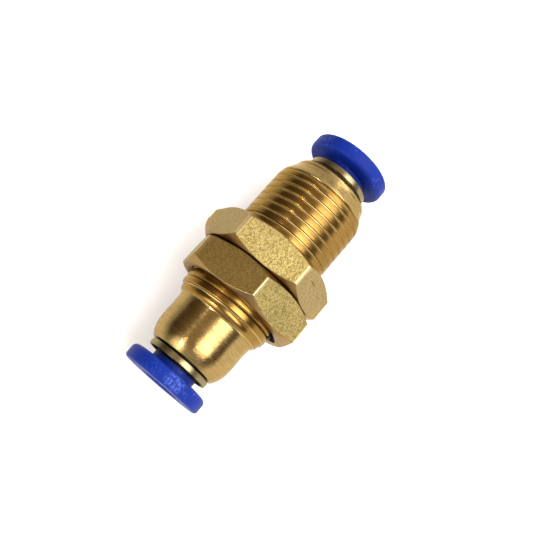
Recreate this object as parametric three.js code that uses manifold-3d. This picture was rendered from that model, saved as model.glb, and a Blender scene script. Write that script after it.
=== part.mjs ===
// Straight bulkhead union for push-in tube, lying on a table on the corners of its two lock nuts.
// Millimetres. +X along the tube axis from end a to end b, +Z up; the origin is under the middle of
// the fitting, on the surface it lies on. "Depth" is measured along the axis from an end face of the
// body: positive goes into the body, negative out of it.
import * as THREE from "three";
import { mergeVertices } from "three/addons/utils/BufferGeometryUtils.js";
import Module from "manifold-3d";

const wasm = await Module();
wasm.setup();

// Body: a turned barrel, threaded over most of its length
const BODY_HALF_LENGTH = 13.8;
const END_FACE_RADIUS = 4.3;
const BARREL_RADIUS = 5.06;
const DOME_A_LENGTH = 2.45;
const DOME_B_LENGTH = 1.85;
const DOME_STEPS = 4;
const THREAD_RADIUS = 5.95;
const THREAD_START_X = -7.35;
const THREAD_END_X = 10.8;
const THREAD_RUNOUT = 0.6;
const THREAD_END_CHAMFER = 1.1;

// Bores inside the body, the same from both ends
const COUNTERBORE_RADIUS = 3.75;
const COUNTERBORE_DEPTH = 6.55;
const TUBE_SOCKET_RADIUS = 2.1;
const TUBE_SOCKET_DEPTH = 10.6;
const TUBE_STOP_CONE = 0.4;
const ORIFICE_RADIUS = 1.4;

// Lock nuts: hexagonal, chamfered on both faces, touching each other at NUT_CONTACT_X
const NUT_CONTACT_X = -1.2;
const NUT_GAP = 0.1;
const NUT_THICKNESS = 4.1;
const NUT_ACROSS_FLATS = 14.9;
const NUT_FACE_RADIUS = 7.35;
const NUT_CHAMFER_SLOPE = 1.6; // radius gained per millimetre of thickness
const NUT_BORE_RADIUS = 6.03;
const NUT_COUNTERSINK_RADIUS = 6.4;
const NUT_TURN = THREE.MathUtils.degToRad(19.6); // of each nut's lowest corner from straight down
const NUT_A_OFFSET = 0.28; // how far the hexagon of nut a sits off its own thread, towards -Y

// Guide ring: pressed into the mouth of the counterbore, with a collar that stands outside it
const RING_FACE_DEPTH = -0.9;
const RING_BACK_DEPTH = -0.17;
const RING_RADIUS = 4.0;
const RING_EDGE = 0.1;
const RING_MOUTH_RADIUS = 3.65;
const RING_MOUTH_DEPTH = -0.35;
const RING_BORE_RADIUS = 3.05;
const RING_STEP_DEPTH = 0.95;
const RING_RECESS_RADIUS = 3.45;
const RING_SPIGOT_RADIUS = 3.7;
const RING_END_DEPTH = 2.65;

// Release collar: pushed in by hand to open the claws
const COLLAR_FACE_DEPTH = -3.72;
const COLLAR_BACK_DEPTH = -1.87;
const COLLAR_RADIUS = 5.2;
const COLLAR_ROUNDING = 0.35;
const COLLAR_BORE_RADIUS = 2.1;
const COLLAR_MOUTH_RADIUS = 2.5;
const COLLAR_MOUTH_DEPTH = 0.4;
const NECK_RADIUS = 2.87;
const BARB_DEPTH = 1.0;
const BARB_RADIUS = 3.3;
const BARB_LAND = 0.15;
const BARB_LENGTH = 0.5;
const NOSE_RADIUS = 2.6;
const NOSE_DEPTH = 2.0;
const COLLAR_SLIT_DEPTH = 0.3;
const COLLAR_SLIT_WIDTH = 0.6;

// Claw ring: a flat rim with teeth that slope inwards and down towards the tube
const CLAW_RIM_DEPTH = 2.75;
const CLAW_RIM_RADIUS = 3.68;
const CLAW_HINGE_RADIUS = 3.1;
const CLAW_TIP_RADIUS = 2.0;
const CLAW_TIP_DEPTH = 3.75;
const CLAW_THICKNESS = 0.15;
const CLAW_SLOT_PAIRS = 5; // each cut crosses the ring and makes two slots
const CLAW_SLOT_WIDTH = 0.4;
const CLAW_SLOT_RADIUS = 3.0;

// Support ring, behind the claws, and the seal behind it
const SUPPORT_RADIUS = 3.68;
const SUPPORT_BORE_RADIUS = 2.3;
const SUPPORT_TOP_DEPTH = 3.02;
const SUPPORT_CONE_RADIUS = 3.15;
const SUPPORT_CONE_DEPTH = 3.79;
const SUPPORT_END_DEPTH = 4.6;
const SEAL_DEPTH = 5.6;
const SEAL_RADIUS = 2.78;
const SEAL_SECTION_RADIUS = 0.88;
const SEAL_SECTION_SIDES = 12;

const ROUND_SIDES = 40;
const CUT_MARGIN = 1;

const HEX_CORNER_RADIUS = NUT_ACROSS_FLATS / 2 / Math.cos(Math.PI / 6);
// height of the tube axis when each nut stands on its lowest corner
const AXIS_HEIGHT = HEX_CORNER_RADIUS * Math.cos(NUT_TURN);
// the overall box is centred on Y = 0, which nut a moves off the tube axis
const AXIS_Y = NUT_A_OFFSET / 2;

// Colours
const BRASS = 0xb08d45;
const PALE_BRASS = 0xb5a677;
const BLUE = 0x1e37aa;
const STEEL = 0xb9bcc0;
const WHITE_PLASTIC = 0xd9d6cc;
const SEAL_BLACK = 0x1b1b1d;

// A solid of revolution about the X axis. The profile is a list of [x, radius] points that starts and
// ends on the axis, or a ring's section, which is closed here.
function turned(profile) {
  const solidCore = profile[0][1] === 0;
  const outline = solidCore ? profile : [...profile, profile[0]];
  const points = outline.map(([x, radius]) => new THREE.Vector2(radius, x));
  return new THREE.LatheGeometry(points, ROUND_SIDES).rotateZ(-Math.PI / 2);
}

// The same for a loop of [depth, radius] points at one end of the body.
// At end b the depth runs against X, so the loop is walked the other way to keep its faces outward.
function turnedAtEnd(end, profile) {
  const placed = profile.map(([depth, radius]) => [end * (BODY_HALF_LENGTH - depth), radius]);
  return turned(end < 0 ? placed : placed.reverse());
}

function toSolid(geometry) {
  const bare = geometry.clone();
  bare.deleteAttribute("normal");
  bare.deleteAttribute("uv");
  const merged = mergeVertices(bare, 1e-4);
  return new wasm.Manifold(
    new wasm.Mesh({
      numProp: 3,
      vertProperties: merged.attributes.position.array,
      triVerts: new Uint32Array(merged.index.array),
    }),
  );
}

function toGeometry(solid) {
  const mesh = solid.getMesh();
  const geometry = new THREE.BufferGeometry();
  geometry.setAttribute("position", new THREE.BufferAttribute(mesh.vertProperties, 3));
  geometry.setIndex(new THREE.BufferAttribute(mesh.triVerts, 1));
  geometry.computeVertexNormals();
  return geometry;
}

// Rounded end of the barrel: a quarter ellipse from the end face to the full radius
function domePoints(faceX, barrelX) {
  const points = [];
  for (let i = 0; i <= DOME_STEPS; i++) {
    const angle = (i / DOME_STEPS) * (Math.PI / 2);
    const x = faceX + (barrelX - faceX) * (1 - Math.cos(angle));
    const radius = END_FACE_RADIUS + (BARREL_RADIUS - END_FACE_RADIUS) * Math.sin(angle);
    points.push([x, radius]);
  }
  return points;
}

function borePoints(end) {
  const at = (depth) => end * (BODY_HALF_LENGTH - depth);
  return [
    [at(0), COUNTERBORE_RADIUS],
    [at(COUNTERBORE_DEPTH), COUNTERBORE_RADIUS],
    [at(COUNTERBORE_DEPTH), TUBE_SOCKET_RADIUS],
    [at(TUBE_SOCKET_DEPTH), TUBE_SOCKET_RADIUS],
    [at(TUBE_SOCKET_DEPTH + TUBE_STOP_CONE), ORIFICE_RADIUS],
  ];
}

function bodyShape() {
  const barrelA = domePoints(-BODY_HALF_LENGTH, -BODY_HALF_LENGTH + DOME_A_LENGTH);
  const barrelB = domePoints(BODY_HALF_LENGTH, BODY_HALF_LENGTH - DOME_B_LENGTH);
  return turned([
    ...barrelA,
    [THREAD_START_X - THREAD_RUNOUT, BARREL_RADIUS],
    [THREAD_START_X, THREAD_RADIUS],
    [THREAD_END_X, THREAD_RADIUS],
    [THREAD_END_X + THREAD_END_CHAMFER, BARREL_RADIUS],
    ...barrelB.reverse(),
    ...borePoints(1),
    ...borePoints(-1).reverse(),
  ]);
}

// Hexagonal prism, trimmed by a double cone for the chamfers, with a countersunk bore. The outside
// sits off the bore by the offset, towards -Y.
function nutShape(innerX, outerX, turn, offset) {
  const low = Math.min(innerX, outerX);
  const high = Math.max(innerX, outerX);
  const middle = (low + high) / 2;
  const prism = new THREE.CylinderGeometry(HEX_CORNER_RADIUS, HEX_CORNER_RADIUS, NUT_THICKNESS, 6);
  prism.rotateZ(-Math.PI / 2).rotateX(turn).translate(middle, 0, 0);
  const cones = turned([
    [low - CUT_MARGIN, 0],
    [low - CUT_MARGIN, NUT_FACE_RADIUS - NUT_CHAMFER_SLOPE * CUT_MARGIN],
    [middle, NUT_FACE_RADIUS + (NUT_CHAMFER_SLOPE * NUT_THICKNESS) / 2],
    [high + CUT_MARGIN, NUT_FACE_RADIUS - NUT_CHAMFER_SLOPE * CUT_MARGIN],
    [high + CUT_MARGIN, 0],
  ]);
  const sink = NUT_COUNTERSINK_RADIUS - NUT_BORE_RADIUS;
  const bore = turned([
    [low - sink, 0],
    [low - sink, NUT_COUNTERSINK_RADIUS + sink],
    [low + sink, NUT_BORE_RADIUS],
    [high - sink, NUT_BORE_RADIUS],
    [high + sink, NUT_COUNTERSINK_RADIUS + sink],
    [high + sink, 0],
  ]);
  const outside = toSolid(prism).intersect(toSolid(cones)).translate([0, -offset, 0]);
  return toGeometry(outside.subtract(toSolid(bore)));
}

function guideRingShape(end) {
  return turnedAtEnd(end, [
    [RING_FACE_DEPTH, RING_MOUTH_RADIUS],
    [RING_FACE_DEPTH, RING_RADIUS - RING_EDGE],
    [RING_FACE_DEPTH + RING_EDGE, RING_RADIUS],
    [RING_BACK_DEPTH, RING_RADIUS],
    [RING_BACK_DEPTH, RING_SPIGOT_RADIUS],
    [RING_END_DEPTH, RING_SPIGOT_RADIUS],
    [RING_END_DEPTH, RING_RECESS_RADIUS],
    [RING_STEP_DEPTH, RING_RECESS_RADIUS],
    [RING_STEP_DEPTH, RING_BORE_RADIUS],
    [RING_MOUTH_DEPTH, RING_BORE_RADIUS],
  ]);
}

// Flange, neck, retaining barb and nose, with two crossing slits that let the barb spring past the
// guide ring
function releaseCollarShape(end) {
  const shape = turnedAtEnd(end, [
    [COLLAR_FACE_DEPTH, COLLAR_MOUTH_RADIUS],
    [COLLAR_FACE_DEPTH, COLLAR_RADIUS - COLLAR_ROUNDING],
    [COLLAR_FACE_DEPTH + COLLAR_ROUNDING * 0.3, COLLAR_RADIUS - COLLAR_ROUNDING * 0.3],
    [COLLAR_FACE_DEPTH + COLLAR_ROUNDING, COLLAR_RADIUS],
    [COLLAR_BACK_DEPTH - COLLAR_ROUNDING, COLLAR_RADIUS],
    [COLLAR_BACK_DEPTH - COLLAR_ROUNDING * 0.3, COLLAR_RADIUS - COLLAR_ROUNDING * 0.3],
    [COLLAR_BACK_DEPTH, COLLAR_RADIUS - COLLAR_ROUNDING],
    [COLLAR_BACK_DEPTH, NECK_RADIUS],
    [BARB_DEPTH, NECK_RADIUS],
    [BARB_DEPTH, BARB_RADIUS],
    [BARB_DEPTH + BARB_LAND, BARB_RADIUS],
    [BARB_DEPTH + BARB_LENGTH, NECK_RADIUS],
    [NOSE_DEPTH, NOSE_RADIUS],
    [NOSE_DEPTH, COLLAR_BORE_RADIUS],
    [COLLAR_FACE_DEPTH + COLLAR_MOUTH_DEPTH, COLLAR_BORE_RADIUS],
  ]);
  const length = NOSE_DEPTH + CUT_MARGIN - COLLAR_SLIT_DEPTH;
  const across = 2 * (BARB_RADIUS + CUT_MARGIN);
  let solid = toSolid(shape);
  for (const turn of [0, Math.PI / 2]) {
    const slit = new THREE.BoxGeometry(length, across, COLLAR_SLIT_WIDTH);
    const x = end * (BODY_HALF_LENGTH - COLLAR_SLIT_DEPTH - length / 2);
    slit.rotateX(turn + Math.PI / 4).translate(x, 0, 0);
    solid = solid.subtract(toSolid(slit));
  }
  return toGeometry(solid);
}

function clawRingShape(end) {
  const shape = turnedAtEnd(end, [
    [CLAW_RIM_DEPTH, CLAW_HINGE_RADIUS],
    [CLAW_RIM_DEPTH, CLAW_RIM_RADIUS],
    [CLAW_RIM_DEPTH + CLAW_THICKNESS, CLAW_RIM_RADIUS],
    [CLAW_RIM_DEPTH + CLAW_THICKNESS, CLAW_HINGE_RADIUS],
    [CLAW_TIP_DEPTH + CLAW_THICKNESS, CLAW_TIP_RADIUS],
    [CLAW_TIP_DEPTH, CLAW_TIP_RADIUS],
  ]);
  const length = CLAW_TIP_DEPTH - CLAW_RIM_DEPTH + 2 * CUT_MARGIN;
  const x = end * (BODY_HALF_LENGTH - (CLAW_TIP_DEPTH + CLAW_RIM_DEPTH) / 2);
  let solid = toSolid(shape);
  for (let i = 0; i < CLAW_SLOT_PAIRS; i++) {
    const slot = new THREE.BoxGeometry(length, 2 * CLAW_SLOT_RADIUS, CLAW_SLOT_WIDTH);
    slot.rotateX((i / CLAW_SLOT_PAIRS) * Math.PI).translate(x, 0, 0);
    solid = solid.subtract(toSolid(slot));
  }
  return toGeometry(solid);
}

function supportRingShape(end) {
  return turnedAtEnd(end, [
    [SUPPORT_TOP_DEPTH, SUPPORT_CONE_RADIUS],
    [SUPPORT_TOP_DEPTH, SUPPORT_RADIUS],
    [SUPPORT_END_DEPTH, SUPPORT_RADIUS],
    [SUPPORT_END_DEPTH, SUPPORT_BORE_RADIUS],
    [SUPPORT_CONE_DEPTH, SUPPORT_BORE_RADIUS],
  ]);
}

function tubeSealShape(end) {
  const section = [];
  for (let i = 0; i < SEAL_SECTION_SIDES; i++) {
    const angle = (i / SEAL_SECTION_SIDES) * 2 * Math.PI;
    const depth = SEAL_DEPTH - SEAL_SECTION_RADIUS * Math.cos(angle);
    section.push([depth, SEAL_RADIUS + SEAL_SECTION_RADIUS * Math.sin(angle)]);
  }
  return turnedAtEnd(end, section);
}

const part = new THREE.Group();

function addPiece(name, geometry, color, roughness, metalness) {
  const material = new THREE.MeshStandardMaterial({ color, roughness, metalness });
  const mesh = new THREE.Mesh(geometry, material);
  mesh.name = name;
  mesh.position.set(0, AXIS_Y, AXIS_HEIGHT);
  part.add(mesh);
}

addPiece("body", bodyShape(), BRASS, 0.25, 1);

const innerA = NUT_CONTACT_X - NUT_GAP / 2;
const innerB = NUT_CONTACT_X + NUT_GAP / 2;
const nutA = nutShape(innerA, innerA - NUT_THICKNESS, NUT_TURN, NUT_A_OFFSET);
const nutB = nutShape(innerB, innerB + NUT_THICKNESS, -NUT_TURN, 0);
addPiece("lock_nut_a", nutA, BRASS, 0.45, 1);
addPiece("lock_nut_b", nutB, BRASS, 0.45, 1);

for (const [letter, end] of [["a", -1], ["b", 1]]) {
  addPiece(`guide_ring_${letter}`, guideRingShape(end), PALE_BRASS, 0.35, 1);
  addPiece(`release_collar_${letter}`, releaseCollarShape(end), BLUE, 0.5, 0);
  addPiece(`claw_ring_${letter}`, clawRingShape(end), STEEL, 0.3, 1);
  addPiece(`support_ring_${letter}`, supportRingShape(end), WHITE_PLASTIC, 0.6, 0);
  addPiece(`tube_seal_${letter}`, tubeSealShape(end), SEAL_BLACK, 0.8, 0);
}

export default part;
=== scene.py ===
"""Looks of the straight bulkhead union: brass body with a real helical thread, two lock nuts, two
blue release collars and the parts of the two tube cartridges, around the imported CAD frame."""

import math

import bmesh
import bpy
import numpy as np
from mathutils import Euler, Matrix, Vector, noise


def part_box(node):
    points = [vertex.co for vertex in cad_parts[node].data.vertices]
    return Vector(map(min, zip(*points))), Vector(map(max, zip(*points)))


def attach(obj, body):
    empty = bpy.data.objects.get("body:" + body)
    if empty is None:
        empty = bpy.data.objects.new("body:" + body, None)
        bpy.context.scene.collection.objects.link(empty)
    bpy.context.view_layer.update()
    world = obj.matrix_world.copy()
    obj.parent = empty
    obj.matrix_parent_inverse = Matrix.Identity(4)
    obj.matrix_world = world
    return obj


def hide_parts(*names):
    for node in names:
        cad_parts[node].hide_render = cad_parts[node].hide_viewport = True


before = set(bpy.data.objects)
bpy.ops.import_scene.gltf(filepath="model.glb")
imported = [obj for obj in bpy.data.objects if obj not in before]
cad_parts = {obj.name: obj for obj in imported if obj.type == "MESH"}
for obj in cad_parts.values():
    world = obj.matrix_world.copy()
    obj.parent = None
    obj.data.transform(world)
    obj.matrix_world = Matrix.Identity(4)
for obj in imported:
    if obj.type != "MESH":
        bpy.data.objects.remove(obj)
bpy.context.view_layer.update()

MM = 0.001
TAU = 2 * math.pi

body_lo, body_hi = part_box("body")
AXIS_Y = (body_lo.y + body_hi.y) / 2
AXIS_Z = (body_lo.z + body_hi.z) / 2
BODY_HALF = (body_hi.x - body_lo.x) / 2 / MM
BODY_MID = (body_hi.x + body_lo.x) / 2


# ---------------------------------------------------------------- meshes


def mesh_object(name, verts_mm, faces, sharp_deg):
    """An object from points in millimetres about the tube axis: x along it, then y and z."""
    mesh = bpy.data.meshes.new(name)
    pts = np.asarray(verts_mm, float) * MM + np.array([BODY_MID, AXIS_Y, AXIS_Z])
    mesh.from_pydata(pts.tolist(), [], [tuple(f) for f in faces])
    mesh.validate()
    mesh.polygons.foreach_set("use_smooth", [True] * len(mesh.polygons))
    mesh.set_sharp_from_angle(angle=math.radians(sharp_deg))
    ob = bpy.data.objects.new(name, mesh)
    bpy.context.scene.collection.objects.link(ob)
    return ob


def grid_faces(rows, cols, wrap_rows=False):
    """Quads between rows of points; each row runs round the axis and closes on itself."""
    i, j = np.meshgrid(np.arange(rows if wrap_rows else rows - 1), np.arange(cols), indexing="ij")
    a = i * cols + j
    b = i * cols + (j + 1) % cols
    c = ((i + 1) % rows) * cols + (j + 1) % cols
    d = ((i + 1) % rows) * cols + j
    return np.stack([a, b, c, d], -1).reshape(-1, 4)


def ring_points(x, r, angles):
    """Rows of points, from x and r given by row, or by row and angle. Angle 0 is +Z, turning to -Y."""
    x = np.asarray(x, float)
    r = np.asarray(r, float)
    if x.ndim == 1:
        x = x[:, None]
    if r.ndim == 1:
        r = r[:, None]
    x, r = np.broadcast_arrays(x, r * np.ones(len(angles)))
    return np.stack([x, -r * np.sin(angles), r * np.cos(angles)], -1).reshape(-1, 3)


def rounded(points, default=0.06, steps=4):
    """The closed profile with each corner rounded. A point is (x, r) or (x, r, rounding)."""
    out = []
    n = len(points)
    for k in range(n):
        p = np.array(points[k][:2], float)
        rad = points[k][2] if len(points[k]) > 2 else default
        a = np.array(points[k - 1][:2], float) - p
        b = np.array(points[(k + 1) % n][:2], float) - p
        la, lb = np.linalg.norm(a), np.linalg.norm(b)
        a, b = a / la, b / lb
        angle = math.acos(np.clip(np.dot(a, b), -1, 1))
        if rad <= 0 or angle > math.pi - 0.02:
            out.append(tuple(p))
            continue
        cut = min(rad / math.tan(angle / 2), 0.45 * la, 0.45 * lb)
        rad = cut * math.tan(angle / 2)
        bis = (a + b) / np.linalg.norm(a + b)
        centre = p + bis * rad / math.sin(angle / 2)
        start, end = p + a * cut - centre, p + b * cut - centre
        turn = math.acos(np.clip(np.dot(start, end) / rad**2, -1, 1))
        for s in np.linspace(0, 1, steps + 1):
            w0 = math.sin((1 - s) * turn) / math.sin(turn)
            w1 = math.sin(s * turn) / math.sin(turn)
            out.append(tuple(centre + w0 * start + w1 * end))
    return out


def area2(points):
    """Twice the area inside a closed profile, positive when it runs anticlockwise."""
    p = np.array([q[:2] for q in points], float)
    q = np.roll(p, -1, 0)
    return float(np.sum(p[:, 0] * q[:, 1] - q[:, 0] * p[:, 1]))


def revolve(name, profile, sides, sharp_deg=28):
    """A closed section turned round the axis, with its faces outward."""
    if area2(profile) > 0:
        profile = profile[::-1]
    x = np.array([p[0] for p in profile])
    r = np.array([p[1] for p in profile])
    angles = np.arange(sides) / sides * TAU
    faces = grid_faces(len(x), sides, wrap_rows=True)
    return mesh_object(name, ring_points(x, r, angles), faces, sharp_deg)


def at_end(end, points):
    """Points given as (depth, r, ...) from the body's end face, positive going in."""
    return [(end * (BODY_HALF - p[0]), *p[1:]) for p in points]


# ---------------------------------------------------------------- body with its thread

THREAD_PITCH = 1.0
THREAD_R = 5.95
# the groove passes this x at this angle
GROOVE_X = -5.90
GROOVE_AT = math.radians(13.0)
BODY_SIDES = 220
# the form of one groove: (distance from its middle along +X, depth below the crest)
THREAD_FORM = [
    (-0.5, 0.0),
    (-0.34, 0.001),
    (-0.25, 0.008),
    (-0.19, 0.022),
    (-0.165, 0.038),
    (-0.145, 0.068),
    (-0.07, 0.094),
    (0.0, 0.118),
    (0.02, 0.118),
    (0.04, 0.095),
    (0.065, 0.055),
    (0.095, 0.022),
    (0.13, 0.008),
    (0.18, 0.002),
    (0.26, 0.0),
    (0.5, 0.0),
]

# flat end face: its outer radius, how far in its edge sits, and the steps of the rounding beside it
FACE_R = 4.3
END_EDGE = 0.07
END_STEPS = 15
# outside of the body as turned, from end a to end b: (x, radius)
BARREL = [
    (-11.5, 5.01),
    (-11.0, 5.035),
    (-10.4, 5.045),
    (-9.6, 5.02),
    (-9.2, 5.03),
    (-8.6, 5.06),
    (-8.15, 5.1),
    (-7.95, 5.16),
    (-7.82, 5.32),
    (-7.6, 5.54),
    (-7.4, 5.6),
    (-7.1, 5.64),
    (-6.9, 5.88),
    (-6.8, THREAD_R),
    (10.4, THREAD_R),
    (10.9, 5.87),
    (11.3, 5.73),
    (11.6, 5.58),
    (11.85, 5.43),
    (12.1, 5.29),
    (12.4, 5.13),
    (12.7, 4.98),
]
BARREL_STEP = 0.15
# the stepped bore from the end face in: (depth, radius)
BORE = [
    (0.0, FACE_R - END_EDGE),
    (0.0, 3.81),
    (0.06, 3.75),
    (6.55, 3.75),
    (6.55, 2.1),
    (10.6, 2.1),
    (11.0, 1.4),
]
# stretch of the body that is meshed along the helix, and where the groove has faded out
THREAD_ZONE = (-8.2, 11.8)
THREAD_END_X = 11.7
RUNOUT = 0.35
# the groove begins at this radius of the barrel and is full depth a little above it
CUT_START_R = 5.15
CUT_BLEND = 0.4
# stretch with the thread's own brass, and the width of the paler flank on the end a side of a groove,
# pale as a painted highlight so each groove shows a bright line
THREAD_SKIN = (-7.9, 11.05)
FLANK_WIDTH = 0.08
# faces further from the axis than this are on the outside
OUTSIDE_R = 5
# a nick where the thread runs into nut a, as (x, y, z) from the tube axis, and its radius and depth
NICK = (-5.42, -5.9, -0.1)
NICK_R = 0.42
NICK_DEPTH = 0.3
# it fades out at this many times its radius
NICK_RIM = 1.2
# painted shade, black, in and around it where the gap into nut a lies in shadow: middle and reach along
# x, y and z
NICK_SHADE_AT = (-5.3, -5.88, -0.95)
NICK_SHADE_REACH = (0.5, 0.8, 2.1)


def envelope(x):
    """Radius of the barrel at x, averaged over a short stretch so that its corners are soft."""
    table = np.array(BARREL)
    near = (-0.06, -0.03, 0.0, 0.03, 0.06)
    return sum(np.interp(x + d, table[:, 0], table[:, 1]) for d in near) / len(near)


def groove_offset(x, angle):
    """Distance along +X from the middle of the nearest turn of the groove."""
    turns = (x - GROOVE_X - THREAD_PITCH * (angle - GROOVE_AT) / TAU) / THREAD_PITCH
    return (turns - np.round(turns)) * THREAD_PITCH


def thread_depth(x, angle):
    form = np.array(THREAD_FORM)
    return np.interp(groove_offset(x, angle), form[:, 0], form[:, 1])


def threaded_radius(x, angle):
    plain = envelope(x)
    start = np.clip((plain - CUT_START_R) / CUT_BLEND, 0, 1)
    runout = np.clip((THREAD_END_X - x) / RUNOUT, 0, 1)
    radius = plain - thread_depth(x, angle) * start * runout
    nick = np.sqrt(
        (x - NICK[0]) ** 2
        + (-radius * np.sin(angle) - NICK[1]) ** 2
        + (radius * np.cos(angle) - NICK[2]) ** 2
    )
    return radius - NICK_DEPTH * np.clip(NICK_RIM - nick / NICK_R, 0, 1)


def helical_sheet(sides):
    """Points and faces of the threaded stretch: rows follow the helix and are cut off at both ends."""
    across_one = [p[0] / THREAD_PITCH for p in THREAD_FORM[:-1]]
    per = len(across_one)
    lo, hi = THREAD_ZONE
    phase = GROOVE_X - THREAD_PITCH * GROOVE_AT / TAU
    first = math.floor((lo - phase) / THREAD_PITCH) - 1
    last = math.ceil((hi - phase) / THREAD_PITCH) + 1
    turns = [m + f for m in range(first, last) for f in across_one]
    row_x = np.array([phase + THREAD_PITCH * t for t in turns])
    turn = np.arange(sides) / sides
    x = np.clip(row_x[:, None] + THREAD_PITCH * turn[None, :], lo, hi)
    q, c = np.meshgrid(np.arange(len(row_x) - 1), np.arange(sides), indexing="ij")
    lap = np.where(c == sides - 1, per, 0)
    ok = q + 1 + lap < len(row_x)
    a = q * sides + c
    b = (q + lap) * sides + (c + 1) % sides
    faces = np.stack([a, b, b + sides, a + sides], -1)[ok]
    return x, faces


def rounded_end(end, x, t):
    """The rounding from the end face, at t = 0, to the barrel's own profile at x, at t = 1."""
    end_x = BODY_HALF - END_EDGE
    along = end * end_x + (x - end * end_x) * t
    return list(zip(along, FACE_R + (envelope(x) - FACE_R) * (1 - (1 - t) ** 2)))


def body_object():
    """The outside from the thread to end b, in by one bore, out by the other, and back to the thread."""
    angles = np.arange(BODY_SIDES) / BODY_SIDES * TAU
    ramp = np.linspace(0, 1, END_STEPS)
    x_a, x_b = BARREL[0][0], BARREL[-1][0]
    left = rounded_end(-1, x_a, ramp)
    for x in np.arange(x_a + BARREL_STEP, THREAD_ZONE[0] - 0.02, BARREL_STEP):
        left.append((x, float(envelope(x))))
    left.append((THREAD_ZONE[0], float(envelope(THREAD_ZONE[0]))))
    right = [(x, float(envelope(x))) for x in np.linspace(THREAD_ZONE[1], x_b, 24)]
    right += rounded_end(1, x_b, ramp[::-1])[1:]
    loop = right + at_end(1, BORE) + at_end(-1, BORE)[::-1] + left
    lx = np.array([p[0] for p in loop])
    lr = np.array([p[1] for p in loop])
    pts = [ring_points(lx, lr, angles)]
    faces = [grid_faces(len(loop), BODY_SIDES)]
    sheet_x, sheet_faces = helical_sheet(BODY_SIDES)
    sheet_r = threaded_radius(sheet_x, angles[None, :])
    pts.append(ring_points(sheet_x, sheet_r, angles))
    faces.append(sheet_faces + len(pts[0]))
    ob = mesh_object("union_body", np.concatenate(pts), np.concatenate(faces)[:, ::-1], sharp_deg=50)
    weld(ob)
    centre = np.array([f.center for f in ob.data.polygons]) / MM
    x, y, z = (centre - np.array([BODY_MID, AXIS_Y, AXIS_Z]) / MM).T
    threaded = (x > THREAD_SKIN[0]) & (x < THREAD_SKIN[1]) & (np.hypot(y, z) > OUTSIDE_R)
    off = groove_offset(x, np.arctan2(-y, z))
    flank = (off > -FLANK_WIDTH) & (off < 0.0)
    # slots: 0 plain brass, 1 thread, 2 flank of the thread, pale as a painted highlight
    skin_faces(ob, 3, np.where(threaded, np.where(flank, 2, 1), 0))
    return ob


def skin_faces(ob, slots, index):
    """Give the mesh its empty material slots and each face its slot."""
    for _ in range(slots):
        ob.data.materials.append(None)
    ob.data.polygons.foreach_set("material_index", index)


def weld(ob):
    """Merge points that share a place and drop what collapses."""
    bm = bmesh.new()
    bm.from_mesh(ob.data)
    bmesh.ops.remove_doubles(bm, verts=bm.verts, dist=1e-8)
    bmesh.ops.recalc_face_normals(bm, faces=bm.faces)
    bm.to_mesh(ob.data)
    bm.free()


# ---------------------------------------------------------------- lock nuts

# across the flats, and the radius where a flat face meets its bevel
NUT_FLATS = 14.9
NUT_FACE_R = 7.35
# radius gained for each unit of height on the bevels
NUT_SLOPE = 1.6
NUT_BORE_R = 6.0
# rounding of the six corners
NUT_CORNER = 0.2
NUT_TURN = math.radians(19.6)
COUNTERSINK = 0.45
FLAT_ROWS = 38
# how far a worn corner reaches to either side
WEAR_SPAN = math.radians(13)
# depth of the blasted grain, its share on the finer flats, its size and the smooth strip beside a corner
GRAIN_DEPTH = 0.026
FINE_GRAIN = 0.55
GRAIN_PER_MM = 9.5
SMOOTH_TO = math.radians(1.0)
GRAIN_BLEND = math.radians(3.0)


def hexagon_radius(angle, corner, rounding):
    """Distance to the outline of a rounded hexagon at an angle from one of its corners."""
    sector = np.abs((angle - corner + math.pi / 6) % (math.pi / 3) - math.pi / 6)
    flat = NUT_FLATS / 2
    # sector 0 is the corner, pi/6 the middle of a flat
    plain = flat / np.cos(math.pi / 6 - sector)
    centre = (flat - rounding) / math.cos(math.pi / 6)
    arc = centre * np.cos(sector) + np.sqrt(
        np.maximum(rounding**2 - (centre * np.sin(sector)) ** 2, 0)
    )
    reach = math.atan2(rounding * math.sin(math.pi / 6), centre + rounding * math.cos(math.pi / 6))
    return np.where(sector < reach, arc, plain)


def nut_angles(corner):
    """Angles round a nut, close together at the corners and even over the flats."""
    near = [0, 0.08, 0.16, 0.26, 0.4, 0.7, 1.2, 2.0]
    side = np.radians(np.array(near + list(np.linspace(2.7, 30, 56))))
    sector = np.concatenate([-side[::-1][:-1], side])[1:]
    return np.concatenate([corner + k * math.pi / 3 + sector for k in range(6)])


def grain_depth(p):
    """Blasted grain: how far the skin is sunk at a point, from 0 to about 1."""
    q = Vector(p) * GRAIN_PER_MM
    return 0.5 + 0.6 * noise.noise(q) + 0.35 * noise.noise(q * 2.1)


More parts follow.
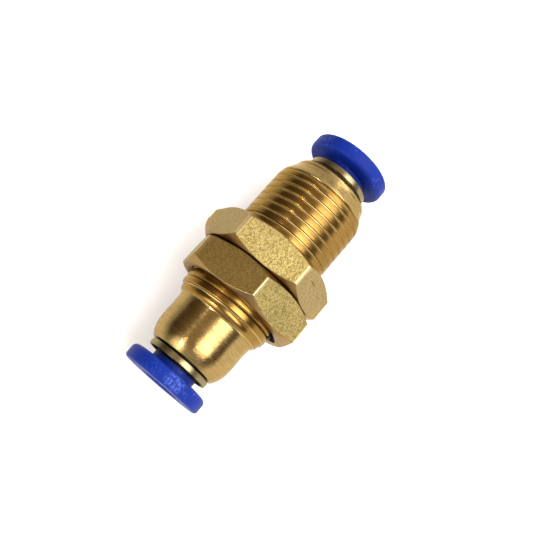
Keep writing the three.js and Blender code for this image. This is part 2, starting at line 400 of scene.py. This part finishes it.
def nut_object(name, low, high, corner, offset, fine_flats=(), shaded_flats=(), worn=None):
    """Hexagon nut, chamfered on both faces, softly broken edges, flats with blasted grain.

    The hexagon sits off the bore by offset along Y. Flats numbered in fine_flats have a finer grain,
    those in the second list a darker skin, which is painted shade where the light leaves them darker. One
    corner may be worn round, given as its angle and the extra bevel at the low and at the high face."""
    angles = nut_angles(corner)
    hexr = hexagon_radius(angles, corner, NUT_CORNER)
    ones = np.ones(len(angles))
    bevel = np.maximum((hexr - NUT_FACE_R) / NUT_SLOPE, 0.02)
    cone = math.hypot(1, NUT_SLOPE)
    room = np.minimum(0.05, bevel * 0.4)
    wear = np.zeros(len(angles))
    if worn:
        off = (angles - worn[0] + math.pi) % TAU - math.pi
        wear = np.exp(-((off / WEAR_SPAN) ** 2))
    sunk_r = NUT_BORE_R + COUNTERSINK + 0.03

    def face_rows(extra):
        """From the bore over one face and its bevel: (depth, radius, share of the offset)."""
        meet = bevel + wear * extra
        out = [
            (COUNTERSINK, NUT_BORE_R, 0.0),
            (COUNTERSINK * 0.5, NUT_BORE_R + COUNTERSINK * 0.5, 0.0),
            (0.04, sunk_r - 0.05, 0.0),
            (0.0, sunk_r, 0.0),
        ]
        for t in (0.2, 0.4, 0.6, 0.8, 1.0):
            out.append((0.0, sunk_r + (NUT_FACE_R - sunk_r - 0.06) * t, t))
        out.append((0.015, NUT_FACE_R - 0.01, 1.0))
        for t in (0.12, 0.3, 0.5, 0.7, 0.85):
            bulge = t + wear * (math.sin(t * math.pi / 2) ** 0.8 - t)
            out.append((meet * t, NUT_FACE_R + NUT_SLOPE * bevel * bulge, 1.0))
        out.append((meet - room / cone, hexr - room * (1 - 0.8 * wear) * NUT_SLOPE / cone, 1.0))
        out.append((meet + room * 0.18, hexr - room * (1 - wear) * 0.18, 1.0))
        return out, meet

    low_rows, low_meet = face_rows(worn[1] if worn else 0)
    high_rows, high_meet = face_rows(worn[2] if worn else 0)
    edge_rows = len(low_rows)
    rows = [(low + d * ones, r * ones, w) for d, r, w in low_rows]
    start, stop = low + low_meet + room, high - high_meet - room
    for t in np.linspace(0, 1, FLAT_ROWS):
        rows.append((start + (stop - start) * t, hexr * ones, 1.0))
    rows += [(high - d * ones, r * ones, w) for d, r, w in high_rows[::-1]]
    x, r, share = (np.array(column) for column in zip(*rows))
    pts = ring_points(x, r, angles).reshape(len(rows), len(angles), 3)
    from_corner = np.abs((angles - corner + math.pi / 6) % (math.pi / 3) - math.pi / 6)
    fade = np.clip((from_corner - SMOOTH_TO) / GRAIN_BLEND, 0, 1)
    fade = fade * fade * (3 - 2 * fade)
    flat_number = (((angles - corner) % TAU) // (math.pi / 3)).astype(int)
    fine = np.isin(flat_number, fine_flats)
    grain = GRAIN_DEPTH * np.where(fine, FINE_GRAIN, 1.0) * fade
    for i in range(edge_rows + 1, edge_rows + FLAT_ROWS - 1):
        for j in np.nonzero(fade)[0]:
            p = pts[i, j]
            out = math.hypot(p[1], p[2])
            depth = grain[j] * max(grain_depth(p), 0)
            pts[i, j, 1:] *= 1 - depth / out
    pts[:, :, 1] += (share * offset)[:, None]
    faces = grid_faces(len(rows), len(angles), wrap_rows=True)[:, ::-1]
    ob = mesh_object(name, pts.reshape(-1, 3), faces, sharp_deg=50)
    row, col = np.divmod(np.arange(len(ob.data.polygons)), len(angles))
    flats = (row >= edge_rows) & (row < edge_rows + FLAT_ROWS - 1)
    # slots: 0 turned faces, 1 grainy flat, 2 finer flat, 3 corner edge, 4 flat with painted shade
    skin = np.where(fine, 2, np.where(np.isin(flat_number, shaded_flats), 4, 1))
    skin = np.where(fade < 0.1, 3, skin)
    skin_faces(ob, 5, np.where(flats, skin[col], 0))
    return ob


# ---------------------------------------------------------------- cartridge pieces


def guide_ring(end, name):
    return revolve(
        name,
        rounded(
            at_end(
                end,
                [
                    (-0.9, 3.72, 0.04),
                    (-0.9, 4.0, 0.09),
                    (-0.17, 4.0, 0.05),
                    (-0.17, 3.7, 0.0),
                    (2.65, 3.7, 0.05),
                    (2.65, 3.45, 0.05),
                    (0.95, 3.45, 0.05),
                    (0.95, 3.05, 0.05),
                    (0.5, 3.05, 0.06),
                    (0.5, 3.6, 0.06),
                ],
            )
        ),
        sides=128,
    )


def release_collar(end, name):
    return revolve(
        name,
        rounded(
            at_end(
                end,
                [
                    (-3.72, 2.5, 0.08),
                    (-3.72, 5.2, 0.38),
                    (-1.87, 5.2, 0.6),
                    (-1.87, 2.87, 0.12),
                    (1.0, 2.87, 0.0),
                    (1.0, 3.3, 0.05),
                    (1.15, 3.3, 0.05),
                    (1.5, 2.87, 0.05),
                    (2.0, 2.6, 0.06),
                    (2.0, 2.1, 0.06),
                    (-3.32, 2.1, 0.1),
                ],
            ),
            steps=6,
        ),
        sides=144,
    )


def support_ring(end, name):
    return revolve(
        name,
        rounded(
            at_end(
                end,
                [
                    (3.02, 3.15, 0.04),
                    (3.02, 3.68, 0.05),
                    (4.6, 3.68, 0.05),
                    (4.6, 2.3, 0.06),
                    (3.79, 2.3, 0.06),
                ],
            )
        ),
        sides=96,
    )


def tube_seal(end, name):
    section = []
    for k in range(24):
        a = k / 24 * TAU
        section.append((5.6 - 0.88 * math.cos(a), 2.78 + 0.88 * math.sin(a)))
    return revolve(name, at_end(end, section), sides=96, sharp_deg=80)


def claw_ring(end, name):
    """Rim and ten teeth bent inwards, each tooth a thin curved blade."""
    teeth, per = 10, 12
    sides = teeth * per
    angles = np.arange(sides) / sides * TAU
    thick = 0.15
    top = [(2.75, 3.68), (2.75, 3.1), (3.05, 2.75), (3.4, 2.37), (3.72, 2.0)]
    under = [(d + thick, r) for d, r in top[::-1]]
    loop = at_end(end, top + under)
    x = np.array([p[0] for p in loop])
    r = np.array([p[1] for p in loop])
    pts = ring_points(x, r, angles)
    faces = grid_faces(len(loop), sides, wrap_rows=True)
    keep = []
    blade_rows = {1, 2, 3, 4, 5, 6, 7}
    for f, quad in enumerate(faces):
        row, col = divmod(f, sides)
        if row in blade_rows and col % per >= per - 2:
            continue
        keep.append(tuple(quad))
    # close the slot walls and the cut at the root of each slot
    for t in range(teeth):
        for col in (t * per + per - 2, (t * per + per) % sides):
            for up, down in ((1, 8), (2, 7), (3, 6)):
                nxt_up, nxt_down = up + 1, down - 1
                quad = [
                    up * sides + col,
                    nxt_up * sides + col,
                    nxt_down * sides + col,
                    down * sides + col,
                ]
                keep.append(tuple(quad if col % per else quad[::-1]))
        for col in (per - 2, per - 1):
            c0 = t * per + col
            c1 = (c0 + 1) % sides
            keep.append((1 * sides + c0, 1 * sides + c1, 8 * sides + c1, 8 * sides + c0))
    ob = mesh_object(name, pts, keep, sharp_deg=30)
    clean_normals(ob)
    return ob


def clean_normals(ob):
    """Drop points that no face uses and turn the faces outward."""
    bm = bmesh.new()
    bm.from_mesh(ob.data)
    loose = [v for v in bm.verts if not v.link_faces]
    bmesh.ops.delete(bm, geom=loose, context="VERTS")
    bmesh.ops.recalc_face_normals(bm, faces=bm.faces)
    bm.to_mesh(ob.data)
    bm.free()


# ---------------------------------------------------------------- materials


def nodes_of(name):
    mat = bpy.data.materials.new(name)
    mat.use_nodes = True
    tree = mat.node_tree
    tree.nodes.clear()
    out = tree.nodes.new("ShaderNodeOutputMaterial")
    bsdf = tree.nodes.new("ShaderNodeBsdfPrincipled")
    tree.links.new(bsdf.outputs[0], out.inputs["Surface"])
    return mat, tree, bsdf


class Build:
    """Small helper to write node graphs in few lines. A value is a number, a colour or a socket."""

    def __init__(self, tree):
        self.tree = tree
        self.coord = tree.nodes.new("ShaderNodeTexCoord")

    def link(self, a, b):
        self.tree.links.new(a, b)

    def put(self, socket, value):
        if isinstance(value, bpy.types.NodeSocket):
            self.tree.links.new(value, socket)
        else:
            socket.default_value = value

    def axis_frame(self):
        """Object coordinates moved so that the tube axis is the x axis."""
        m = self.tree.nodes.new("ShaderNodeVectorMath")
        m.operation = "SUBTRACT"
        self.link(self.coord.outputs["Object"], m.inputs[0])
        m.inputs[1].default_value = (BODY_MID, AXIS_Y, AXIS_Z)
        return m.outputs[0]

    def scale(self, vec, xyz):
        m = self.tree.nodes.new("ShaderNodeVectorMath")
        m.operation = "MULTIPLY"
        self.put(m.inputs[0], vec)
        m.inputs[1].default_value = xyz
        return m.outputs[0]

    def split(self, vec):
        n = self.tree.nodes.new("ShaderNodeSeparateXYZ")
        self.put(n.inputs[0], vec)
        return n.outputs

    def join(self, x, y, z):
        n = self.tree.nodes.new("ShaderNodeCombineXYZ")
        for s, v in zip(n.inputs, (x, y, z)):
            self.put(s, v)
        return n.outputs[0]

    def math(self, op, a, b=0.0):
        n = self.tree.nodes.new("ShaderNodeMath")
        n.operation = op
        self.put(n.inputs[0], a)
        self.put(n.inputs[1], b)
        return n.outputs[0]

    def noise(self, vec, scale, detail=2.0, rough=0.5):
        n = self.tree.nodes.new("ShaderNodeTexNoise")
        self.put(n.inputs["Vector"], vec)
        n.inputs["Scale"].default_value = scale
        n.inputs["Detail"].default_value = detail
        n.inputs["Roughness"].default_value = rough
        return n.outputs["Fac"]

    def cells(self, vec, scale):
        """A random value from 0 to 1 for each small cell."""
        n = self.tree.nodes.new("ShaderNodeTexVoronoi")
        self.put(n.inputs["Vector"], vec)
        n.inputs["Scale"].default_value = scale
        return self.split(n.outputs["Color"])[0]

    def ramp(self, fac, stops):
        n = self.tree.nodes.new("ShaderNodeValToRGB")
        self.put(n.inputs[0], fac)
        el = n.color_ramp.elements
        while len(el) < len(stops):
            el.new(0.5)
        for e, (pos, col) in zip(el, stops):
            e.position = pos
            e.color = (*col, 1)
        return n.outputs[0]

    def grey(self, fac, stops):
        return self.ramp(fac, [(p, (v, v, v)) for p, v in stops])

    def mix(self, fac, a, b):
        n = self.tree.nodes.new("ShaderNodeMix")
        n.data_type = "RGBA"
        self.put(n.inputs[0], fac)
        for socket, colour in ((n.inputs[6], a), (n.inputs[7], b)):
            self.put(socket, colour if isinstance(colour, bpy.types.NodeSocket) else (*colour, 1))
        return n.outputs[2]

    def bump(self, height, strength, distance):
        n = self.tree.nodes.new("ShaderNodeBump")
        self.put(n.inputs["Height"], height)
        n.inputs["Strength"].default_value = strength
        n.inputs["Distance"].default_value = distance
        return n.outputs[0]

    def distance(self, vec, point):
        """How far a position is from a fixed point."""
        n = self.tree.nodes.new("ShaderNodeVectorMath")
        n.operation = "DISTANCE"
        self.put(n.inputs[0], vec)
        n.inputs[1].default_value = point
        return n.outputs["Value"]

    def radius(self, vec):
        """Place along the tube axis and distance from it."""
        x, y, z = self.split(vec)
        rr = self.math("ADD", self.math("MULTIPLY", y, y), self.math("MULTIPLY", z, z))
        return x, self.math("SQRT", rr)

    def map_range(self, value, a, b, c=0.0, d=1.0, smooth=False):
        n = self.tree.nodes.new("ShaderNodeMapRange")
        if smooth:
            n.interpolation_type = "SMOOTHSTEP"
        self.put(n.inputs[0], value)
        for s, v in zip(list(n.inputs)[1:5], (a, b, c, d)):
            s.default_value = v
        return n.outputs[0]


# colour the brass keeps where it is seen at a flat angle
EDGE_TINT = (0.86, 0.77, 0.6, 1)


def nick_shade(b, vec):
    """Painted shade, black, in the nick beside nut a where its gap lies in shadow: 1 where it lies, 0
    elsewhere.
    """
    scaled = b.scale(vec, [1 / (v * MM) for v in NICK_SHADE_REACH])
    away = b.distance(scaled, [c / v for c, v in zip(NICK_SHADE_AT, NICK_SHADE_REACH)])
    ragged = b.math("MULTIPLY", b.math("SUBTRACT", b.noise(vec, 2600, 2), 0.5), 0.5)
    return b.map_range(b.math("ADD", away, ragged), 0.85, 1.0, 1.0, 0.0)


def gap_shade(b, vec, colour, edge_r):
    """Painted shade: black past each end face of the body, inside the given radius, where the gap between
    the body and the guide ring lies in shadow.
    """
    x, r = b.radius(vec)
    past_end = b.math("GREATER_THAN", b.math("ABSOLUTE", x), (BODY_HALF - 0.12) * MM)
    low = b.map_range(r, edge_r[0] * MM, edge_r[1] * MM, 1.0, 0.0)
    return b.mix(b.math("MULTIPLY", past_end, low), colour, (0.005, 0.004, 0.004))


def turned_brass(name, light, dark, rough, marks, along_r=False, nick_shaded=False, gap=None, lanes=24):
    """Turned brass: streaky tool marks round the axis, faint tarnish and handling marks."""
    mat, tree, bsdf = nodes_of(name)
    b = Build(tree)
    vec = b.axis_frame()
    x, r = b.radius(vec)
    if along_r:
        y, z = b.split(vec)[1:3]
        lane = b.join(b.math("ADD", x, r), y, z)
    else:
        lane = vec
    streaks = b.noise(b.scale(lane, (lanes, 0.7, 0.7)), 420, 4, 0.7)
    fine = b.noise(b.scale(lane, (30, 0.6, 0.6)), 900, 2, 0.6)
    cloud = b.noise(vec, 260, 3, 0.55)
    spots = b.noise(vec, 1500, 2, 0.6)
    tarnish = b.grey(cloud, [(0.35, 0.0), (0.7, 1.0)])
    mixed = b.mix(tarnish, light, dark)
    streaked = b.mix(b.grey(streaks, [(0.5, 0.0), (0.69, 0.6)]), mixed, [c * 0.6 for c in dark])
    speck = b.grey(spots, [(0.64, 0.0), (0.8, 0.5)])
    colour = b.mix(speck, streaked, [c * 0.55 for c in dark])
    lane_rough = b.math("MULTIPLY", b.math("ADD", streaks, cloud), 0.5)
    roughness = b.map_range(lane_rough, 0.3, 0.7, rough[0], rough[1])
    bsdf.inputs["Metallic"].default_value = 1.0
    # painted shade: the nick beside nut a is made black and matte where its gap lies in shadow
    if nick_shaded:
        nick_shade_fac = nick_shade(b, vec)
        colour = b.mix(nick_shade_fac, colour, (0.004, 0.003, 0.003))
        roughness = b.math("MAXIMUM", roughness, nick_shade_fac)
        b.link(b.math("SUBTRACT", 1.0, nick_shade_fac), bsdf.inputs["Metallic"])
    # painted shade: black in the gap between the body's end and the guide ring
    if gap:
        colour = gap_shade(b, vec, colour, gap)
    b.link(colour, bsdf.inputs["Base Color"])
    b.link(roughness, bsdf.inputs["Roughness"])
    bsdf.inputs["Specular IOR Level"].default_value = 0.1
    bsdf.inputs["Specular Tint"].default_value = EDGE_TINT
    height = b.math("ADD", b.math("MULTIPLY", fine, 0.6), streaks)
    b.link(b.bump(height, marks, 0.00003), bsdf.inputs["Normal"])
    return mat


# where the scratches cross the flat of nut b, from the tube axis
SCRATCH_X = 1.55
SCRATCH_Z = 3.9
SCRATCH_FRONT_Y = -6


def scratches(b, vec, colour):
    """Dark ragged scratches across the upper front flat of nut b."""
    x, y, z = b.split(vec)
    wander = b.math("SUBTRACT", b.noise(b.scale(vec, (1.6, 0.4, 0.4)), 2600, 3, 0.7), 0.5)
    off = b.math("ADD", b.math("SUBTRACT", x, SCRATCH_X * MM), b.math("MULTIPLY", wander, 1.3 * MM))
    line = b.map_range(b.math("ABSOLUTE", off), 0.05 * MM, 0.13 * MM, 1.0, 0.0)
    along = b.math("ABSOLUTE", b.math("SUBTRACT", z, SCRATCH_Z * MM))
    length = b.map_range(along, 0.45 * MM, 0.75 * MM, 1.0, 0.0)
    front = b.math("LESS_THAN", y, SCRATCH_FRONT_Y * MM)
    fac = b.math("MULTIPLY", b.math("MULTIPLY", line, length), front)
    return b.mix(b.math("MULTIPLY", fac, 0.75), colour, (0.05, 0.03, 0.012))


def blasted_brass(name, light, dark, size=8200, depth=0.00004, scratched=False):
    """The grainy flats of the nuts, as drawn and blasted bar."""
    mat, tree, bsdf = nodes_of(name)
    b = Build(tree)
    vec = b.axis_frame()
    grain = b.noise(b.scale(vec, (0.75, 1.25, 1.25)), size * 1.3, 2, 0.6)
    facets = b.cells(b.scale(vec, (0.8, 1.15, 1.15)), size)
    cloud = b.noise(vec, 300, 3, 0.5)
    bright = b.math("ADD", b.math("MULTIPLY", facets, 0.6), b.math("MULTIPLY", grain, 0.4))
    base = b.mix(b.grey(bright, [(0.15, 0.0), (0.85, 1.0)]), dark, light)
    shade = b.grey(cloud, [(0.35, 0.0), (0.8, 0.25)])
    colour = b.mix(shade, base, [c * 0.8 for c in dark])
    if scratched:
        colour = scratches(b, vec, colour)
    b.link(colour, bsdf.inputs["Base Color"])
    bsdf.inputs["Metallic"].default_value = 1.0
    bsdf.inputs["Specular Tint"].default_value = EDGE_TINT
    b.link(b.map_range(facets, 0.0, 1.0, 0.46, 0.3), bsdf.inputs["Roughness"])
    b.link(b.bump(grain, 1.0, depth), bsdf.inputs["Normal"])
    return mat


# middle of the scuffed patch on the front of collar a's flange, from the tube axis
SCUFF = (-16.5, -2.2, 4.7)
# painted shade: a dark line on the collars' necks at the mouth of the guide ring, where it lies in
# shadow: distance past the end face, half width
NECK_SHADE_LINE = (0.78, 0.36)
NECK_R = 3.0
# the two blues that the plastic wanders between
BLUES = ((0.0006, 0.0105, 0.145), (0.0012, 0.017, 0.195))


def collar_plastic():
    """Blue moulded plastic, semi-matte, with pale scuffs and painted shade where the neck enters the
    ring.
    """
    mat, tree, bsdf = nodes_of("collar_blue")
    b = Build(tree)
    vec = b.axis_frame()
    cloud = b.noise(vec, 350, 3, 0.5)
    fine = b.noise(vec, 7000, 3, 0.6)
    blue = b.mix(b.grey(cloud, [(0.3, 0.0), (0.75, 1.0)]), *BLUES)
    scratch = b.noise(b.scale(vec, (1.0, 2.2, 0.7)), 2600, 4, 0.75)
    patch = b.noise(vec, 420, 2, 0.5)
    scuff = b.math(
        "MULTIPLY",
        b.grey(scratch, [(0.54, 0.0), (0.72, 1.0)]),
        b.grey(patch, [(0.5, 0.0), (0.68, 0.6)]),
    )
    near = b.map_range(b.distance(vec, [v * MM for v in SCUFF]), 0.7 * MM, 1.5 * MM, 0.5, 0.0)
    rubbed = b.math("MULTIPLY", near, b.grey(scratch, [(0.46, 0.0), (0.6, 1.0)]))
    scuff = b.math("MAXIMUM", scuff, rubbed)
    colour = b.mix(scuff, blue, (0.1, 0.17, 0.6))
    x, r = b.radius(vec)
    # painted shade inside the mouth of the guide ring, on the neck
    mouth = b.math("SUBTRACT", b.math("ABSOLUTE", x), (BODY_HALF + NECK_SHADE_LINE[0]) * MM)
    mouth_shade = b.math("LESS_THAN", b.math("ABSOLUTE", mouth), NECK_SHADE_LINE[1] * MM)
    neck = b.math("LESS_THAN", r, NECK_R * MM)
    colour = b.mix(b.math("MULTIPLY", mouth_shade, neck), colour, (0.001, 0.001, 0.004))
    b.link(colour, bsdf.inputs["Base Color"])
    b.link(b.map_range(fine, 0.3, 0.7, 0.48, 0.6), bsdf.inputs["Roughness"])
    height = b.math("ADD", fine, b.math("MULTIPLY", scuff, 0.8))
    b.link(b.bump(height, 0.35, 0.00001), bsdf.inputs["Normal"])
    bsdf.inputs["Specular IOR Level"].default_value = 0.13
    bsdf.inputs["IOR"].default_value = 1.5
    return mat


def plain_grain(name, one, other, rough, metal=0.0, grain=4000):
    """A surface that wanders between two close colours, with a very fine grain."""
    mat, tree, bsdf = nodes_of(name)
    b = Build(tree)
    vec = b.axis_frame()
    cloud = b.noise(vec, 500, 3, 0.5)
    fine = b.noise(vec, grain, 3, 0.6)
    b.link(b.mix(b.grey(cloud, [(0.3, 0.0), (0.7, 1.0)]), one, other), bsdf.inputs["Base Color"])
    bsdf.inputs["Metallic"].default_value = metal
    b.link(b.map_range(fine, 0.3, 0.7, rough[0], rough[1]), bsdf.inputs["Roughness"])
    b.link(b.bump(fine, 0.4, 0.00001), bsdf.inputs["Normal"])
    return mat


# radii between which the painted shade in the gap fades out, on the body's end face and on the guide
# rings
END_SHADE_R = (4.1, 4.3)
RING_SHADE_R = (3.86, 3.94)
BRASS_BODY = turned_brass(
    "brass_body",
    (0.305, 0.21, 0.08),
    (0.235, 0.155, 0.053),
    (0.1, 0.36),
    0.6,
    gap=END_SHADE_R,
    lanes=11,
)
BRASS_THREAD = turned_brass(
    "brass_thread",
    (0.24, 0.14, 0.035),
    (0.2, 0.11, 0.026),
    (0.19, 0.3),
    0.25,
    nick_shaded=True,
)
# painted highlight: a pale brass for the groove flanks, so each groove shows a bright line
BRASS_FLANK_SHEEN = turned_brass(
    "brass_thread_flank_sheen",
    (0.5, 0.43, 0.2),
    (0.4, 0.32, 0.13),
    (0.15, 0.3),
    0.25,
    nick_shaded=True,
)
# painted shade: the nut faces' brass is darker and browner than the body's, standing in for the dark
# reflection across nut a's chamfer
BRASS_FACE = turned_brass(
    "brass_nut_face",
    (0.26, 0.165, 0.065),
    (0.2, 0.12, 0.045),
    (0.24, 0.38),
    0.4,
    along_r=True,
    nick_shaded=True,
)
BRASS_EDGE = turned_brass("brass_nut_edge", (0.62, 0.5, 0.25), (0.5, 0.38, 0.18), (0.25, 0.4), 0.3)
BRASS_FLAT = blasted_brass("brass_nut_flat", (0.46, 0.365, 0.137), (0.132, 0.092, 0.027))
# painted shade: a darker copy of the flat brass for the flats of nut a that sit darker in the light
BRASS_SHADED_FLAT = blasted_brass("brass_nut_flat_shaded", (0.44, 0.31, 0.1), (0.15, 0.095, 0.025))
BRASS_SAND = blasted_brass(
    "brass_nut_sand",
    (0.35, 0.27, 0.13),
    (0.2, 0.145, 0.062),
    9500,
    0.00003,
    scratched=True,
)
BRASS_RING = turned_brass(
    "brass_ring",
    (0.225, 0.19, 0.1),
    (0.18, 0.145, 0.07),
    (0.22, 0.36),
    0.4,
    gap=RING_SHADE_R,
)
BLUE = collar_plastic()
STEEL = plain_grain(
    "claw_steel", (0.62, 0.63, 0.65), (0.5, 0.5, 0.52), (0.18, 0.35), metal=1.0, grain=3500
)
WHITE = plain_grain("support_white", (0.78, 0.76, 0.7), (0.7, 0.68, 0.62), (0.4, 0.55))
RUBBER = plain_grain(
    "seal_rubber", (0.012, 0.012, 0.013), (0.02, 0.02, 0.021), (0.3, 0.5), grain=2500
)


def dress(ob, body, node, slot, *materials):
    """Fill the piece's material slots, tie it to its body and hide its CAD node. The record slot argument
    is not used.
    """
    while len(ob.data.materials) < len(materials):
        ob.data.materials.append(None)
    for slot_index, material in enumerate(materials):
        ob.data.materials[slot_index] = material
    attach(ob, body)
    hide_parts(node)


# ---------------------------------------------------------------- build

dress(body_object(), "fitting", "body", "body_brass", BRASS_BODY, BRASS_THREAD, BRASS_FLANK_SHEEN)
# what sets the two nuts apart besides how far each is turned; the darker flats of nut a are painted shade
NUT_WEAR = {
    "a": {"shaded_flats": (2, 5)},
    "b": {"fine_flats": (1, 2, 4, 5), "worn": (-NUT_TURN - math.pi / 3, 1.2, 0.35)},
}
for letter, corner in (("a", 1), ("b", -1)):
    node = f"lock_nut_{letter}"
    lo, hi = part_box(node)
    x0, x1 = lo.x / MM - BODY_MID / MM, hi.x / MM - BODY_MID / MM
    hexagon_y = ((lo.y + hi.y) / 2 - AXIS_Y) / MM
    nut = nut_object(f"nut_{letter}", x0, x1, corner * NUT_TURN, hexagon_y, **NUT_WEAR[letter])
    skins = (BRASS_FACE, BRASS_FLAT, BRASS_SAND, BRASS_EDGE, BRASS_SHADED_FLAT)
    dress(nut, f"nut_{letter}", node, "nut_brass", *skins)

# the pieces at each end: (function, name, body, CAD node, record slot, material)
CARTRIDGE = [
    (release_collar, "collar", "collar", "release_collar", "collar_plastic", BLUE),
    (guide_ring, "ring", "fitting", "guide_ring", "ring_brass", BRASS_RING),
    (claw_ring, "claws", "fitting", "claw_ring", "claw_steel", STEEL),
    (support_ring, "support", "fitting", "support_ring", "support_plastic", WHITE),
    (tube_seal, "seal", "fitting", "tube_seal", "seal_rubber", RUBBER),
]
for letter, end in (("a", -1), ("b", 1)):
    for make, name, body, node, slot, material in CARTRIDGE:
        rides = body if body == "fitting" else f"{body}_{letter}"
        dress(make(end, f"{name}_{letter}"), rides, f"{node}_{letter}", slot, material)


# ---------------------------------------------------------------- floor, light, camera

FLOOR_HALF = 1.2
FLOOR_TONE = 0.83


def studio_floor():
    """A plain pale square under the fitting."""
    mesh = bpy.data.meshes.new("studio_floor")
    corners = [(x * FLOOR_HALF, y * FLOOR_HALF, 0.0) for x, y in ((-1, -1), (1, -1), (1, 1), (-1, 1))]
    mesh.from_pydata(corners, [], [(0, 1, 2, 3)])
    ob = bpy.data.objects.new("studio_floor", mesh)
    bpy.context.scene.collection.objects.link(ob)
    mat, _, bsdf = nodes_of("studio_floor")
    bsdf.inputs["Base Color"].default_value = (FLOOR_TONE, FLOOR_TONE, FLOOR_TONE, 1)
    bsdf.inputs["Roughness"].default_value = 0.9
    mesh.materials.append(mat)


def area_light(name, direction, distance, size, power):
    """A rectangular lamp in that direction from the origin, facing it. Metres and watts."""
    data = bpy.data.lights.new(name, "AREA")
    data.shape = "RECTANGLE"
    data.size, data.size_y = size
    data.energy = power
    ob = bpy.data.objects.new(name, data)
    bpy.context.scene.collection.objects.link(ob)
    d = Vector(direction).normalized()
    ob.location = d * distance
    ob.rotation_euler = d.to_track_quat("Z", "Y").to_euler()


def across(deg):
    """Direction in the plane across the tube axis, in degrees from straight up towards +Y."""
    a = math.radians(deg)
    return (0, math.sin(a), math.cos(a))


studio_floor()
# two softboxes above and in front, side by side along the tube, and a lamp towards end b
key = across(-39)
area_light("key_softbox_a", (-0.07, key[1], key[2]), 0.5, (0.27, 0.35), 3.0)
area_light("key_softbox_b", (0.49, key[1], key[2]), 0.56, (0.3, 0.35), 1.5)
area_light("end_lamp", (0.87, key[1] * 0.5, key[2] * 0.5), 0.5, (0.2, 0.12), 0.5)
strip = across(19)
# a narrow strip for the second highlight, a fill from behind, and a small lamp for glints in the grooves
area_light("strip", (0.08, strip[1], strip[2]), 0.5, (0.13, 0.035), 0.07)
area_light("fill_softbox", (-0.75, 0.36, 0.55), 0.5, (0.26, 0.26), 0.75)
area_light("glint_lamp", (-0.6, 0.27, 0.75), 0.5, (0.055, 0.055), 0.8)

world = bpy.data.worlds.new("studio")
bpy.context.scene.world = world
world.use_nodes = True
studio = Build(world.node_tree)
toward = studio.split(studio.coord.outputs["Generated"])
# pale at the horizon, dark brown low down and brighter overhead, which gives the brass its dark bands
overhead = studio.ramp(
    toward[2],
    [
        (0.02, (0.9, 0.9, 0.9)),
        (0.06, (0.11, 0.07, 0.04)),
        (0.42, (0.13, 0.085, 0.05)),
        (0.76, (0.27, 0.2, 0.13)),
        (0.95, (0.68, 0.5, 0.34)),
    ],
)
# a pale wall low behind the fitting, and pale walls past both ends of the tube axis
low_down = studio.map_range(toward[2], 0.16, 0.28, 1.0, 0.0, smooth=True)
behind = studio.map_range(toward[1], 0.0, 0.2, smooth=True)
sky = studio.mix(studio.math("MULTIPLY", low_down, behind), overhead, (0.95, 0.95, 0.95))
right_wall = studio.map_range(toward[0], 0.5, 0.72, smooth=True)
front_half = studio.map_range(toward[1], 0.12, 0.4, 1.0, 0.35, smooth=True)
# the +X wall fades towards straight along the axis, so the rounded end at b stays darker than the grooves
short = studio.map_range(toward[0], 0.86, 0.94, 1.0, 0.3, smooth=True)
right_wall = studio.math("MULTIPLY", right_wall, short)
sky = studio.mix(studio.math("MULTIPLY", right_wall, front_half), sky, (2.7, 2.7, 2.7))
sky = studio.mix(studio.map_range(toward[0], -0.5, -0.72, smooth=True), sky, (1.0, 1.0, 1.0))
background = world.node_tree.nodes["Background"]
studio.link(sky, background.inputs["Color"])
background.inputs["Strength"].default_value = 1.0

CAMERA_PLACE = (-0.021406, -0.021067, 0.097875)
CAMERA_TURN = (18.649, 1.134, -50.295)
CAMERA_LENS = 54.73

cam_data = bpy.data.cameras.new("camera")
cam_data.lens = CAMERA_LENS
cam_data.sensor_width = 36
cam_data.clip_start = 0.005
cam_data.clip_end = 10
cam = bpy.data.objects.new("camera", cam_data)
bpy.context.scene.collection.objects.link(cam)
cam.location = Vector(CAMERA_PLACE) + Vector((0, AXIS_Y, 0))
cam.rotation_euler = Euler([math.radians(v) for v in CAMERA_TURN])
bpy.context.scene.camera = cam
bpy.context.scene.view_settings.view_transform = "Standard"

bpy.context.view_layer.update()
